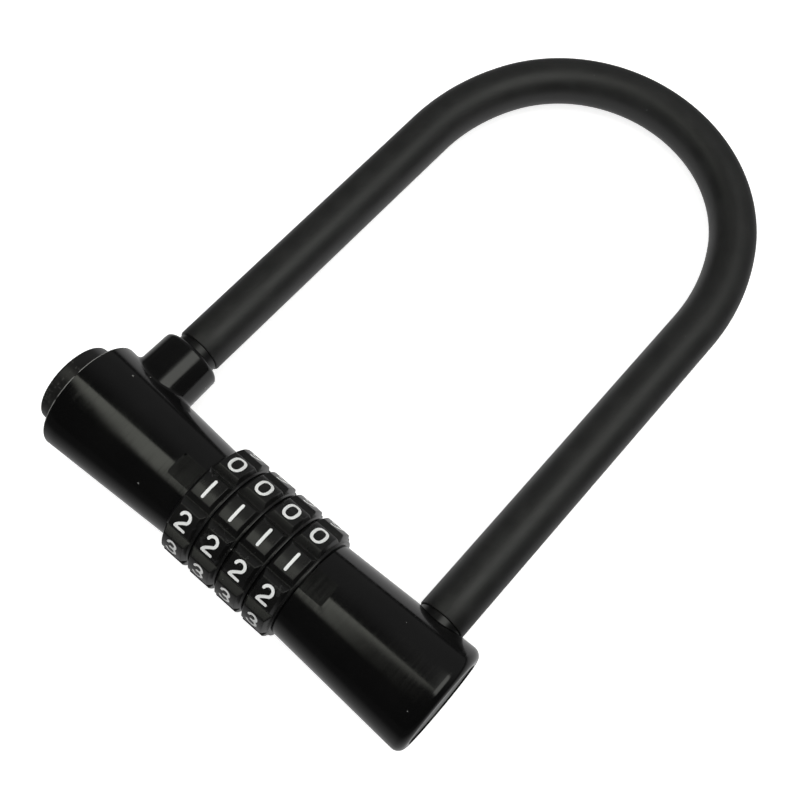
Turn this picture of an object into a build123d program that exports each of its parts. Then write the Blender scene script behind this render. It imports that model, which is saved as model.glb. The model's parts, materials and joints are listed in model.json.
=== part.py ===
from build123d import *
from math import atan2, cos, degrees, radians, sin
import os

os.makedirs("parts", exist_ok=True)

# A combination U-lock. The crossbar runs along X, the shackle stands in the XY plane towards +Y,
# and the lock lies flat with +Z up. Stations along the crossbar are counted from the shackle's
# mid-plane, radii and heights from the crossbar's axis.

# shackle
leg_spacing = 100.0
leg_straight_end = 129.8
side_arc_radius = 65.2
side_arc_angle = 27.1
core_radius = 6.0
sleeve_radius = 7.0
foot_end = -4.5
foot_chamfer = 1.0
neck_radius = 3.9
neck_low = 3.6
neck_high = 7.4
left_sleeve_end = 29.6
right_sleeve_end = 16.2
sleeve_edge = 0.5
ferrule_radius = 6.4
left_ferrule_low = 27.45
right_ferrule_low = 13.9

# castings
casting_left_end = -62.5
casting_right_end = 64.0
left_end_radius = 16.85
left_dial_radius = 14.33
right_dial_radius = 14.6
right_end_radius = 16.5
left_rim_edge = 0.5
right_rim_edge = 2.7
collar_top = 27.25
collar_top_radius = 9.3
collar_taper = 1.2
collar_edge = 1.4
collar_blend = 1.2
bush_radius = 7.9
bush_bore = 6.3
leg_hole_radius = 6.5
press_gap = 0.02
left_bush_low = 13.5
left_bush_high = 26.6
right_bush_low = 2.0
right_bush_high = 13.2
right_hole_floor = -5.3
spot_face_radius = 7.95

# dials
dial_count = 4
digit_count = 10
dial_pitch = 9.5
dial_width = 9.25
dials_left = -18.8
index_angle = -3.7
rim_radius = 15.4
land_radius = 17.15
land_start = 1.1
land_end = 7.8
band_start = 8.6
band_radius = 15.8
groove_radius = 15.65
groove_depth = 1.7
groove_floor_width = 0.3
groove_top_width = 4.2
dial_bore = 11.5
notch_radius = 12.25
notch_width = 2.2
dial_gap = 0.2

# code rings, inside the dials
ring_offset = 0.1
ring_width = 8.9
ring_radius = 11.4
tooth_radius = 12.1
tooth_width = 2.0
ring_bore = 8.08
recess_radius = 10.3
recess_a = (1.1, 4.3)
recess_b = (5.5, 8.6)
gate_width = 4.0
click_radius = 8.8
click_width = 1.8
washer_offset = 9.15
washer_thickness = 0.3
washer_radius = 11.3
washer_bore = 8.1

# button, locking slide and spindle
button_travel = 4.4
button_face = -68.6
button_radius = 12.3
button_face_thickness = 3.0
button_edge = 0.8
boss_radius = 9.7
boss_gap = 0.1
skirt_end = -61.8
slide_radius = 11.2
slide_end = -39.5
foot_hole_radius = 6.4
grip_half_width = 4.2
grip_plate = (4.0, 7.0)
button_bore = 12.5
button_bore_end = -56.4
slide_bore = 11.5
slide_bore_end = -34.5
spindle_radius = 5.6
spindle_shoulder = 22.0
pilot_radius = 2.2
pilot_end = 31.0
stub_radius = 3.0
stub_start = -42.8
fin_offset = 1.5
fin_length = 2.4
fin_width = 3.0
fin_reach = 9.9

# core tube and what it carries
tube_radius = 8.0
tube_bore = 6.0
tube_end = 37.9
tube_slot_end = 18.6
tube_slot_width = 3.6
key_reach = 10.3
leaf_groove_width = 3.0
leaf_groove_floor = 7.1
leaf_length = 34.0
leaf_width = 2.6
leaf_low = 7.15
leaf_high = 7.5
bump_length = 0.9
bump_width = 1.2
bump_reach = 8.6
seat_start = 36.0
seat_radius = 5.95
seat_hole = 2.6
spring_radius = 4.0
spring_wire = 0.5
spring_turns = 7
pin_radius = 1.25
left_pin_station = -27.0
right_pin_station = 28.0
pin_sink = 0.3
pin_inner = 6.6

# end plate and code selector
plate_radius = 12.7
plate_thickness = 1.8
plate_sink = 0.4
plate_gap = 0.05
plate_edge = 0.4
selector_drop = -9.5
selector_head_radius = 2.7
selector_hole = 3.0
selector_shaft_radius = 1.9
selector_bore = 2.2
selector_start = 47.0
selector_slot = (4.2, 0.9, 0.9)

# index pads, one in each casting beside the dials
pad_length = 7.6
pad_width = 6.9
pad_corner = 0.8
left_pad_floor = 13.75
right_pad_floor = 13.8

# the frame: the origin is below the middle of the lock, on the surface it lies on
half_spacing = leg_spacing / 2
side_x = half_spacing - side_arc_radius + side_arc_radius * cos(radians(side_arc_angle))
side_y = side_arc_radius * sin(radians(side_arc_angle))
top_arc_radius = side_x / cos(radians(side_arc_angle))
bow_top = leg_straight_end + side_y + top_arc_radius * (1 - sin(radians(side_arc_angle)))
bar_x = -(button_face + casting_right_end) / 2
bar_y = -(bow_top + sleeve_radius - land_radius) / 2
bar_z = land_radius
bar_axis = Axis((bar_x, bar_y, bar_z), (1, 0, 0))
half_plane = Plane(origin=(bar_x, bar_y, bar_z), x_dir=(1, 0, 0), z_dir=(0, 0, 1))


def across(station):
    """Plane square to the crossbar; its x points along +Y and its y along +Z."""
    return Plane(origin=(bar_x + station, bar_y, bar_z), x_dir=(0, 1, 0), z_dir=(1, 0, 0))


def leg_plane(station, height):
    """Plane square to a shackle leg, looking along +Y; its x points along +X."""
    return Plane(
        origin=(bar_x + station, bar_y + height, bar_z), x_dir=(1, 0, 0), z_dir=(0, 1, 0)
    )


def tilted_plane(angle):
    """Plane through the crossbar's axis whose normal leans from +Z towards +Y by an angle."""
    lean = radians(angle)
    return Plane(
        origin=(bar_x, bar_y, bar_z), x_dir=(1, 0, 0), z_dir=(0, sin(lean), cos(lean))
    )


def casting_radius(station):
    """Outer radius of the tapered castings at a station."""
    if station < 0:
        run = (dials_left - dial_gap - station) / (dials_left - dial_gap - casting_left_end)
        return left_dial_radius + run * (left_end_radius - left_dial_radius)
    run = (station - casting_right_start) / (casting_right_end - casting_right_start)
    return right_dial_radius + run * (right_end_radius - right_dial_radius)


def pad_cutter(inner_end, outer_end, floor_radius):
    """Solid that sinks an index pad with a flat floor into a casting."""
    low, high = sorted((inner_end, outer_end))
    with BuildPart() as cutter:
        with BuildSketch(tilted_plane(index_angle).offset(floor_radius)):
            with Locations(((low + high) / 2, 0)):
                RectangleRounded(high - low, pad_width, pad_corner)
        extrude(amount=land_radius)
    return cutter.part


def finish(piece, name):
    """Name a finished piece and write it as one STEP file."""
    piece.part.label = name
    export_step(piece.part, f"parts/{name}.step")


casting_left_start = dials_left - dial_gap
casting_right_start = dials_left + dial_count * dial_pitch
dial_stations = [dials_left + n * dial_pitch for n in range(dial_count)]
land_angle = 90 - index_angle

# index pads sunk into the castings, open towards the dials
left_pad = pad_cutter(
    casting_left_start + pad_corner, casting_left_start - pad_length, left_pad_floor
)
right_pad = pad_cutter(
    casting_right_start - pad_corner, casting_right_start + pad_length, right_pad_floor
)

# left casting: tapered barrel, collar for the left leg, bores for the button and slide
with BuildPart() as left_casting:
    with BuildSketch(half_plane):
        with BuildLine():
            Polyline(
                (casting_left_end, 0),
                (casting_left_end, left_end_radius),
                (casting_left_start, left_dial_radius),
                (casting_left_start, 0),
                close=True,
            )
        make_face()
    revolve(axis=bar_axis)
    rim = left_casting.edges().filter_by(GeomType.CIRCLE).sort_by(Axis.X)[0]
    fillet(rim, radius=left_rim_edge)
    with BuildSketch(leg_plane(-half_spacing, collar_top)):
        Circle(collar_top_radius)
    extrude(amount=-collar_top, taper=-collar_taper)
    collar_rim = left_casting.edges().filter_by(GeomType.CIRCLE).sort_by(Axis.Y)[-1]
    fillet(collar_rim, radius=collar_edge)
    collar_joint = left_casting.edges().filter_by(GeomType.BSPLINE).sort_by(Axis.Y)[-1]
    fillet(collar_joint, radius=collar_blend)
    with BuildSketch(across(casting_left_end)):
        Circle(button_bore)
    extrude(amount=button_bore_end - casting_left_end, mode=Mode.SUBTRACT)
    with BuildSketch(across(casting_left_end)):
        Circle(slide_bore)
    extrude(amount=slide_bore_end - casting_left_end, mode=Mode.SUBTRACT)
    with BuildSketch(across(slide_bore_end)):
        Circle(tube_radius + press_gap)
        Rectangle(tube_slot_width, key_reach, align=(Align.CENTER, Align.MIN))
    extrude(amount=casting_left_start - slide_bore_end, mode=Mode.SUBTRACT)
    with BuildSketch(leg_plane(-half_spacing, 0)):
        Circle(leg_hole_radius)
    extrude(amount=collar_top, mode=Mode.SUBTRACT)
    with BuildSketch(leg_plane(-half_spacing, left_bush_low)):
        Circle(bush_radius + press_gap)
    extrude(amount=collar_top - left_bush_low, mode=Mode.SUBTRACT)
    add(left_pad, mode=Mode.SUBTRACT)
    with BuildSketch(tilted_plane(180)):
        with Locations((left_pin_station, 0)):
            Circle(pin_radius + press_gap)
    extrude(amount=left_end_radius, mode=Mode.SUBTRACT)
finish(left_casting, "left_casting")

# right casting: tapered barrel with the blind socket for the right leg and the plate recess
with BuildPart() as right_casting:
    with BuildSketch(half_plane):
        with BuildLine():
            Polyline(
                (casting_right_start, 0),
                (casting_right_start, right_dial_radius),
                (casting_right_end, right_end_radius),
                (casting_right_end, 0),
                close=True,
            )
        make_face()
    revolve(axis=bar_axis)
    rim = right_casting.edges().filter_by(GeomType.CIRCLE).sort_by(Axis.X)[-1]
    fillet(rim, radius=right_rim_edge)
    with BuildSketch(across(casting_right_end)):
        Circle(plate_radius + plate_gap)
    extrude(amount=-(plate_thickness + plate_sink), mode=Mode.SUBTRACT)
    with BuildSketch(across(casting_right_start)):
        Circle(tube_radius + press_gap)
    extrude(amount=tube_end - casting_right_start, mode=Mode.SUBTRACT)
    with BuildSketch(leg_plane(half_spacing, right_hole_floor)):
        Circle(leg_hole_radius)
    extrude(amount=right_bush_high - right_hole_floor, mode=Mode.SUBTRACT)
    with BuildSketch(leg_plane(half_spacing, right_bush_low)):
        Circle(bush_radius + press_gap)
    extrude(amount=right_bush_high - right_bush_low, mode=Mode.SUBTRACT)
    with BuildSketch(leg_plane(half_spacing, right_bush_high)):
        Circle(spot_face_radius)
    extrude(amount=right_end_radius, mode=Mode.SUBTRACT)
    with BuildSketch(across(selector_start - press_gap)):
        with Locations((selector_drop, 0)):
            Circle(selector_bore)
    extrude(amount=casting_right_end - selector_start, mode=Mode.SUBTRACT)
    add(right_pad, mode=Mode.SUBTRACT)
    with BuildSketch(tilted_plane(180)):
        with Locations((right_pin_station, 0)):
            Circle(pin_radius + press_gap)
    extrude(amount=right_end_radius, mode=Mode.SUBTRACT)
finish(right_casting, "right_casting")

# core tube joining the castings, slotted along the top for the spindle's fins
with BuildPart() as core_tube:
    with BuildSketch(across(slide_bore_end)):
        Circle(tube_radius)
        Circle(tube_bore, mode=Mode.SUBTRACT)
    extrude(amount=tube_end - slide_bore_end)
    with BuildSketch(across(slide_bore_end)):
        Rectangle(tube_slot_width, tube_radius, align=(Align.CENTER, Align.MIN))
    extrude(amount=tube_slot_end - slide_bore_end, mode=Mode.SUBTRACT)
    with BuildSketch(tilted_plane(180).offset(leaf_groove_floor)):
        Rectangle(leaf_length + 1, leaf_groove_width)
    extrude(amount=tube_radius, mode=Mode.SUBTRACT)
    with BuildSketch(tilted_plane(180)):
        with Locations((left_pin_station, 0), (right_pin_station, 0)):
            Circle(pin_radius + press_gap)
    extrude(amount=tube_radius, mode=Mode.SUBTRACT)
finish(core_tube, "core_tube")

# two cross pins that hold the castings on the tube
with BuildPart() as tube_pins:
    for station in (left_pin_station, right_pin_station):
        with BuildSketch(tilted_plane(180).offset(pin_inner)):
            with Locations((station, 0)):
                Circle(pin_radius)
        extrude(amount=casting_radius(station) - pin_sink - pin_inner)
finish(tube_pins, "tube_pins")

# click leaf in the tube's underside, one bump for each code ring
with BuildPart() as click_leaf:
    with BuildSketch(tilted_plane(180).offset(leaf_low)):
        Rectangle(leaf_length, leaf_width)
    extrude(amount=leaf_high - leaf_low)
    with BuildSketch(tilted_plane(180).offset(leaf_low)):
        for station in dial_stations:
            with Locations((station + (recess_a[1] + recess_b[0]) / 2, 0)):
                Rectangle(bump_length, bump_width)
    extrude(amount=bump_reach - leaf_low)
finish(click_leaf, "click_leaf")

# bushes that guide the shackle's legs
with BuildPart() as collar_bush:
    with BuildSketch(leg_plane(-half_spacing, left_bush_low)):
        Circle(bush_radius)
        Circle(bush_bore, mode=Mode.SUBTRACT)
    extrude(amount=left_bush_high - left_bush_low)
finish(collar_bush, "collar_bush")

with BuildPart() as socket_bush:
    with BuildSketch(leg_plane(half_spacing, right_bush_low)):
        Circle(bush_radius)
        Circle(bush_bore, mode=Mode.SUBTRACT)
    extrude(amount=right_bush_high - right_bush_low)
finish(socket_bush, "socket_bush")

# end plate, and the coin-slot selector that frees the code rings for a new code
with BuildPart() as end_plate:
    with BuildSketch(across(casting_right_end - plate_sink)):
        Circle(plate_radius)
    extrude(amount=-plate_thickness)
    plate_rim = end_plate.edges().filter_by(GeomType.CIRCLE).sort_by(Axis.X)[-1]
    chamfer(plate_rim, length=plate_edge)
    with BuildSketch(across(casting_right_end)):
        with Locations((selector_drop, 0)):
            Circle(selector_hole)
    extrude(amount=-(plate_thickness + plate_sink), mode=Mode.SUBTRACT)
finish(end_plate, "end_plate")

with BuildPart() as code_selector:
    with BuildSketch(across(selector_start)):
        with Locations((selector_drop, 0)):
            Circle(selector_shaft_radius)
    extrude(amount=casting_right_end - plate_sink - selector_start)
    with BuildSketch(across(casting_right_end - plate_sink - plate_thickness + plate_gap)):
        with Locations((selector_drop, 0)):
            Circle(selector_head_radius)
    extrude(amount=plate_thickness - plate_gap)
    with BuildSketch(across(casting_right_end)):
        with Locations((selector_drop, 0)):
            Rectangle(selector_slot[0], selector_slot[1])
    extrude(amount=-(selector_slot[2] + plate_sink), mode=Mode.SUBTRACT)
finish(code_selector, "code_selector")

# return spring inside the tube, between the spindle's shoulder and a pressed seat
spring_length = seat_start - spindle_shoulder - 2 * (spring_wire + plate_gap)
with BuildPart() as return_spring:
    with BuildLine() as coil_line:
        Helix(
            pitch=spring_length / spring_turns,
            height=spring_length,
            radius=spring_radius,
            center=(bar_x + spindle_shoulder + spring_wire + plate_gap, bar_y, bar_z),
            direction=(1, 0, 0),
        )
    with BuildSketch(Plane(origin=coil_line.line @ 0, z_dir=coil_line.line % 0)):
        Circle(spring_wire)
    sweep(path=coil_line.line, is_frenet=True)
finish(return_spring, "return_spring")

with BuildPart() as spring_seat:
    with BuildSketch(across(seat_start)):
        Circle(seat_radius)
        Circle(seat_hole, mode=Mode.SUBTRACT)
    extrude(amount=tube_end - seat_start)
finish(spring_seat, "spring_seat")

# thin washers between neighbouring code rings
with BuildPart() as dial_washers:
    for station in dial_stations:
        with BuildSketch(across(station + washer_offset)):
            Circle(washer_radius)
            Circle(washer_bore, mode=Mode.SUBTRACT)
        extrude(amount=washer_thickness)
finish(dial_washers, "dial_washers")

# number dials and the code rings keyed inside them
groove_side = degrees(atan2(groove_depth, (groove_top_width - groove_floor_width) / 2))
for number, station in enumerate(dial_stations, start=1):
    with BuildPart() as dial:
        with BuildSketch(half_plane):
            with BuildLine():
                Polyline(
                    (station, 0),
                    (station, rim_radius),
                    (station + land_start, land_radius),
                    (station + land_end, land_radius),
                    (station + band_start, band_radius),
                    (station + dial_width, band_radius),
                    (station + dial_width, 0),
                    close=True,
                )
            make_face()
        revolve(axis=bar_axis)
        with BuildSketch(across(station)):
            with PolarLocations(
                groove_radius + groove_depth / 2,
                digit_count,
                start_angle=land_angle + 180 / digit_count,
            ):
                Trapezoid(groove_top_width, groove_depth, groove_side, rotation=90)
        extrude(amount=band_start, mode=Mode.SUBTRACT)
        with BuildSketch(across(station)):
            Circle(dial_bore)
            with PolarLocations(0, digit_count, start_angle=90):
                Rectangle(notch_radius, notch_width, align=(Align.MIN, Align.CENTER))
        extrude(amount=dial_width, mode=Mode.SUBTRACT)
    finish(dial, f"dial_{number}")

    with BuildPart() as code_ring:
        with BuildSketch(across(station + ring_offset)):
            Circle(ring_radius)
            with PolarLocations(0, digit_count, start_angle=90):
                Rectangle(tooth_radius, tooth_width, align=(Align.MIN, Align.CENTER))
            Circle(ring_bore, mode=Mode.SUBTRACT)
        extrude(amount=ring_width)
        for low, high in (recess_a, recess_b):
            with BuildSketch(across(station + low)):
                Circle(recess_radius)
            extrude(amount=high - low, mode=Mode.SUBTRACT)
        with BuildSketch(across(station)):
            Rectangle(gate_width, recess_radius, align=(Align.CENTER, Align.MIN))
        extrude(amount=dial_width, mode=Mode.SUBTRACT)
        with BuildSketch(across(station)):
            with PolarLocations(0, digit_count, start_angle=90):
                Rectangle(click_radius, click_width, align=(Align.MIN, Align.CENTER))
        extrude(amount=dial_width, mode=Mode.SUBTRACT)
    finish(code_ring, f"code_ring_{number}")

# push button, pressed over the locking slide's boss
with BuildPart() as push_button:
    with BuildSketch(across(button_face)):
        Circle(button_radius)
    extrude(amount=skirt_end - button_face)
    button_rim = push_button.edges().filter_by(GeomType.CIRCLE).sort_by(Axis.X)[0]
    fillet(button_rim, radius=button_edge)
    with BuildSketch(across(skirt_end)):
        Circle(boss_radius + boss_gap)
    extrude(
        amount=-(skirt_end - button_face - button_face_thickness), mode=Mode.SUBTRACT
    )
finish(push_button, "push_button")

# locking slide: a keyhole in its grip plate closes on the left foot's neck
with BuildPart() as locking_slide:
    with BuildSketch(across(skirt_end)):
        Circle(slide_radius)
    extrude(amount=slide_end - skirt_end)
    with BuildSketch(across(button_face + button_face_thickness)):
        Circle(boss_radius)
    extrude(amount=skirt_end - button_face - button_face_thickness)
    for low, high in ((-slide_bore, grip_plate[0]), (grip_plate[1], slide_bore)):
        with BuildSketch(leg_plane(-half_spacing - button_travel / 2, low)):
            SlotCenterToCenter(button_travel, 2 * foot_hole_radius)
        extrude(amount=high - low, mode=Mode.SUBTRACT)
    with BuildSketch(leg_plane(-half_spacing, grip_plate[0])):
        Circle(foot_hole_radius)
        with Locations((-button_travel / 2, 0)):
            SlotCenterToCenter(button_travel, 2 * grip_half_width)
    extrude(amount=grip_plate[1] - grip_plate[0], mode=Mode.SUBTRACT)
    with BuildSketch(across(slide_end)):
        Circle(stub_radius + press_gap)
    extrude(amount=stub_start - slide_end, mode=Mode.SUBTRACT)
finish(locking_slide, "locking_slide")

# spindle: its fins pass the code rings' gates only at the opening code
with BuildPart() as spindle:
    with BuildSketch(across(slide_end)):
        Circle(spindle_radius)
    extrude(amount=spindle_shoulder - slide_end)
    with BuildSketch(across(stub_start)):
        Circle(stub_radius)
    extrude(amount=slide_end - stub_start)
    with BuildSketch(across(spindle_shoulder)):
        Circle(pilot_radius)
    extrude(amount=pilot_end - spindle_shoulder)
    with BuildSketch(tilted_plane(0)):
        for station in dial_stations:
            with Locations((station + fin_offset + fin_length / 2, 0)):
                Rectangle(fin_length, fin_width)
    extrude(amount=fin_reach)
finish(spindle, "spindle")

# shackle: steel core with a gripped neck on the left foot, and a plastic sleeve over it
def bow_point(angle, side):
    """A point of the bow's side arc, at an angle from the leg; side is -1 for left, 1 for right."""
    turn = radians(angle)
    reach = half_spacing - side_arc_radius + side_arc_radius * cos(turn)
    return (side * reach, leg_straight_end + side_arc_radius * sin(turn))


def shackle_path(left_start, right_start):
    """The shackle's centre line, from a height on the left leg to one on the right leg."""
    middle = side_arc_angle / 2
    with BuildLine(half_plane) as path:
        Line((-half_spacing, left_start), bow_point(0, -1))
        ThreePointArc(bow_point(0, -1), bow_point(middle, -1), bow_point(side_arc_angle, -1))
        ThreePointArc(bow_point(side_arc_angle, -1), (0, bow_top), bow_point(side_arc_angle, 1))
        ThreePointArc(bow_point(side_arc_angle, 1), bow_point(middle, 1), bow_point(0, 1))
        Line(bow_point(0, 1), (half_spacing, right_start))
    return path.line


with BuildPart() as shackle_core:
    with BuildSketch(leg_plane(-half_spacing, foot_end)):
        Circle(core_radius)
    sweep(path=shackle_path(foot_end, foot_end))
    chamfer(
        shackle_core.edges().filter_by(GeomType.CIRCLE).group_by(Axis.Y)[0],
        length=foot_chamfer,
    )
    with BuildSketch(leg_plane(-half_spacing, neck_low)):
        Circle(core_radius + foot_chamfer)
        Circle(neck_radius, mode=Mode.SUBTRACT)
    extrude(amount=neck_high - neck_low, mode=Mode.SUBTRACT)
finish(shackle_core, "shackle_core")

with BuildPart() as shackle_sleeve:
    with BuildSketch(leg_plane(-half_spacing, left_sleeve_end)):
        Circle(sleeve_radius)
    sweep(path=shackle_path(left_sleeve_end, right_sleeve_end))
    chamfer(shackle_sleeve.edges().filter_by(GeomType.CIRCLE).group_by(Axis.Y)[0], sleeve_edge)
    left_rim = shackle_sleeve.edges().filter_by(GeomType.CIRCLE).filter_by(
        lambda edge: abs(edge.center().Y - bar_y - left_sleeve_end) < sleeve_edge
    )
    chamfer(left_rim, sleeve_edge)
    with BuildSketch(leg_plane(-half_spacing, left_sleeve_end)):
        Circle(core_radius + press_gap)
    sweep(path=shackle_path(left_sleeve_end, right_sleeve_end), mode=Mode.SUBTRACT)
finish(shackle_sleeve, "shackle_sleeve")

for name, station, low, high in (
    ("left_ferrule", -half_spacing, left_ferrule_low, left_sleeve_end),
    ("right_ferrule", half_spacing, right_ferrule_low, right_sleeve_end),
):
    with BuildPart() as ferrule:
        with BuildSketch(leg_plane(station, low)):
            Circle(ferrule_radius)
            Circle(core_radius + press_gap, mode=Mode.SUBTRACT)
        extrude(amount=high - low - plate_gap)
    finish(ferrule, name)
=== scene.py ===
import json
import math

import bmesh
import bpy
from mathutils import Matrix, Vector
from mathutils.geometry import delaunay_2d_cdt


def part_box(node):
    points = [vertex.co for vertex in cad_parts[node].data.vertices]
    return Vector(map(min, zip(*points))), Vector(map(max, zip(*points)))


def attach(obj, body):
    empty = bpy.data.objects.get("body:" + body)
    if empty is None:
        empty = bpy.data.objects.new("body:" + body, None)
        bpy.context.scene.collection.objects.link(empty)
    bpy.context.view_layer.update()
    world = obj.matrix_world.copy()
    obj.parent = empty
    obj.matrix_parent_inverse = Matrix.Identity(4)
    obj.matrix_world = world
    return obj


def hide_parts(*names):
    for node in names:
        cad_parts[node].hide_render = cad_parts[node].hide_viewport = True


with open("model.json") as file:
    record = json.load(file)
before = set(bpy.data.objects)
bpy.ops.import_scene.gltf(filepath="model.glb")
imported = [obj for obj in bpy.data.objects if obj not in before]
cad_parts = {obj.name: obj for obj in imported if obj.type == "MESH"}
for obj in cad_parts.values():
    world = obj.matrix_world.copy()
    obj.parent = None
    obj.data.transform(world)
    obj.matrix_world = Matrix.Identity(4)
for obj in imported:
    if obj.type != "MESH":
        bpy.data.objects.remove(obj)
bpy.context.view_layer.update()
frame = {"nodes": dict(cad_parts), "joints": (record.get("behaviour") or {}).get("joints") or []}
nodes = frame["nodes"]
jointNamed = {joint["name"]: joint for joint in frame["joints"]}
mm = 0.001  # sizes in the dictionaries are millimetres

# the crossbar's axis at the shackle's middle plane, and the stations taken from the CAD pieces
barCentre = Vector(jointNamed["dial_1_turn"]["pos_m"])
dialCount = 4
dialStarts = [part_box(f"dial_{n + 1}")[0].x for n in range(dialCount)]
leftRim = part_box("left_casting")[0].x
print("frame loaded:", len(nodes), "nodes")


# shader groups, each built once and placed in the materials with its own values
def newGroup(name, inputs, outputs):
    tree = bpy.data.node_groups.new(name, "ShaderNodeTree")
    for label, value in inputs:
        kind = "NodeSocketVector" if isinstance(value, tuple) else "NodeSocketFloat"
        socket = tree.interface.new_socket(name=label, in_out="INPUT", socket_type=kind)
        socket.default_value = value
    for label in outputs:
        tree.interface.new_socket(name=label, in_out="OUTPUT", socket_type="NodeSocketFloat")
    return tree, tree.nodes.new("NodeGroupInput"), tree.nodes.new("NodeGroupOutput")


def addNode(tree, kind, settings=None, inputs=None):
    node = tree.nodes.new(kind)
    for key, value in (settings or {}).items():
        setattr(node, key, value)
    for key, value in (inputs or {}).items():
        if isinstance(value, bpy.types.NodeSocket):
            tree.links.new(value, node.inputs[key])
        else:
            node.inputs[key].default_value = value
    return node


def doMath(tree, operation, first, second=None, third=None):
    node = addNode(tree, "ShaderNodeMath", {"operation": operation})
    for place, value in enumerate((first, second, third)):
        if value is None:
            continue
        if isinstance(value, bpy.types.NodeSocket):
            tree.links.new(value, node.inputs[place])
        else:
            node.inputs[place].default_value = value
    return node.outputs[0]


def remap(tree, value, fromLow, fromHigh, toLow=0.0, toHigh=1.0):
    inputs = {
        "Value": value,
        "From Min": fromLow,
        "From Max": fromHigh,
        "To Min": toLow,
        "To Max": toHigh,
    }
    return addNode(tree, "ShaderNodeMapRange", {"interpolation_type": "SMOOTHSTEP"}, inputs).outputs[0]


def noiseOf(tree, place, scale, detail=3.0, roughness=0.55):
    inputs = {"Vector": place, "Scale": scale, "Detail": detail, "Roughness": roughness}
    return addNode(tree, "ShaderNodeTexNoise", None, inputs).outputs["Fac"]


# fine marks that run round the crossbar's axis
def buildTurnedStreaks():
    tree, given, out = newGroup("turnedStreaks", [("Spread", (2600.0, 38.0, 38.0))], ["Height"])
    place = addNode(tree, "ShaderNodeTexCoord").outputs["Object"]
    stretched = addNode(tree, "ShaderNodeVectorMath", {"operation": "MULTIPLY"}, {0: place})
    tree.links.new(given.outputs["Spread"], stretched.inputs[1])
    height = noiseOf(tree, stretched.outputs[0], 1.0, 4.0, 0.62)
    tree.links.new(height, out.inputs["Height"])
    return tree


# even micro texture of a moulded, sprayed or blasted surface
grainMarks = {"detail": 3.0, "roughness": 0.6, "cloudShare": 0.035, "cloudRange": (0.35, 0.68)}


def buildFineGrain():
    tree, given, out = newGroup("fineGrain", [("Scale", 2500.0)], ["Height", "Cloud"])
    place = addNode(tree, "ShaderNodeTexCoord").outputs["Object"]
    height = noiseOf(tree, place, given.outputs["Scale"], grainMarks["detail"], grainMarks["roughness"])
    cloudScale = doMath(tree, "MULTIPLY", given.outputs["Scale"], grainMarks["cloudShare"])
    cloud = noiseOf(tree, place, cloudScale, 4.0, 0.5)
    tree.links.new(height, out.inputs["Height"])
    tree.links.new(remap(tree, cloud, *grainMarks["cloudRange"]), out.inputs["Cloud"])
    return tree


# scattered specks of dust, each its own size
dustMarks = {"warpScale": 1400.0, "warpReach": 0.0005, "leastSize": 0.4}


def buildDustSpecks():
    inputs = [("Scale", 420.0), ("Size", 0.11), ("Amount", 0.12)]
    tree, given, out = newGroup("dustSpecks", inputs, ["Mask"])
    place = addNode(tree, "ShaderNodeTexCoord").outputs["Object"]
    warp = addNode(tree, "ShaderNodeTexNoise", None, {"Vector": place, "Scale": dustMarks["warpScale"]})
    shift = addNode(
        tree,
        "ShaderNodeVectorMath",
        {"operation": "SCALE"},
        {0: warp.outputs["Color"], "Scale": dustMarks["warpReach"]},
    )
    bent = addNode(tree, "ShaderNodeVectorMath", {"operation": "ADD"}, {0: place, 1: shift.outputs[0]})
    cells = addNode(
        tree, "ShaderNodeTexVoronoi", None, {"Vector": bent.outputs[0], "Scale": given.outputs["Scale"]}
    )
    pick = addNode(tree, "ShaderNodeSeparateColor", None, {"Color": cells.outputs["Color"]})
    chosen = doMath(tree, "LESS_THAN", pick.outputs[0], given.outputs["Amount"])
    share = doMath(tree, "ADD", pick.outputs[1], dustMarks["leastSize"])
    reach = doMath(tree, "MULTIPLY", given.outputs["Size"], share)
    inside = doMath(tree, "LESS_THAN", cells.outputs["Distance"], reach)
    tree.links.new(doMath(tree, "MULTIPLY", chosen, inside), out.inputs["Mask"])
    return tree


# short hair scratches in patches, along two leanings
scratchMarks = {
    "leanings": (((0.3, 0.2, 0.9), (1.0, 0.16, 0.3)), ((0.1, 0.7, -0.6), (0.22, 1.0, 0.4))),
    "patchScale": 120.0,
    "gapScale": 900.0,
    "gapLevel": 0.5,
}


def buildHairScratches():
    inputs = [("Scale", 160.0), ("Thinness", 0.035), ("Patches", 0.56)]
    tree, given, out = newGroup("hairScratches", inputs, ["Mask"])
    place = addNode(tree, "ShaderNodeTexCoord").outputs["Object"]
    total = None
    for turn, stretch in scratchMarks["leanings"]:
        leaning = {"Vector": place, "Rotation": turn, "Scale": stretch}
        turned = addNode(tree, "ShaderNodeMapping", None, leaning)
        cells = addNode(
            tree,
            "ShaderNodeTexVoronoi",
            {"feature": "DISTANCE_TO_EDGE"},
            {"Vector": turned.outputs[0], "Scale": given.outputs["Scale"]},
        )
        line = doMath(tree, "LESS_THAN", cells.outputs["Distance"], given.outputs["Thinness"])
        total = line if total is None else doMath(tree, "MAXIMUM", total, line)
    patch = noiseOf(tree, place, scratchMarks["patchScale"], 3.0, 0.6)
    broken = noiseOf(tree, place, scratchMarks["gapScale"], 2.0, 0.5)
    kept = doMath(tree, "GREATER_THAN", patch, given.outputs["Patches"])
    gaps = doMath(tree, "GREATER_THAN", broken, scratchMarks["gapLevel"])
    mask = doMath(tree, "MULTIPLY", total, doMath(tree, "MULTIPLY", kept, gaps))
    tree.links.new(mask, out.inputs["Mask"])
    return tree


# rubbed edges, found by rounding the normal
rubMarks = {"samples": 6, "edgeTurn": (0.995, 0.9), "wornRange": (0.42, 0.6)}


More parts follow.
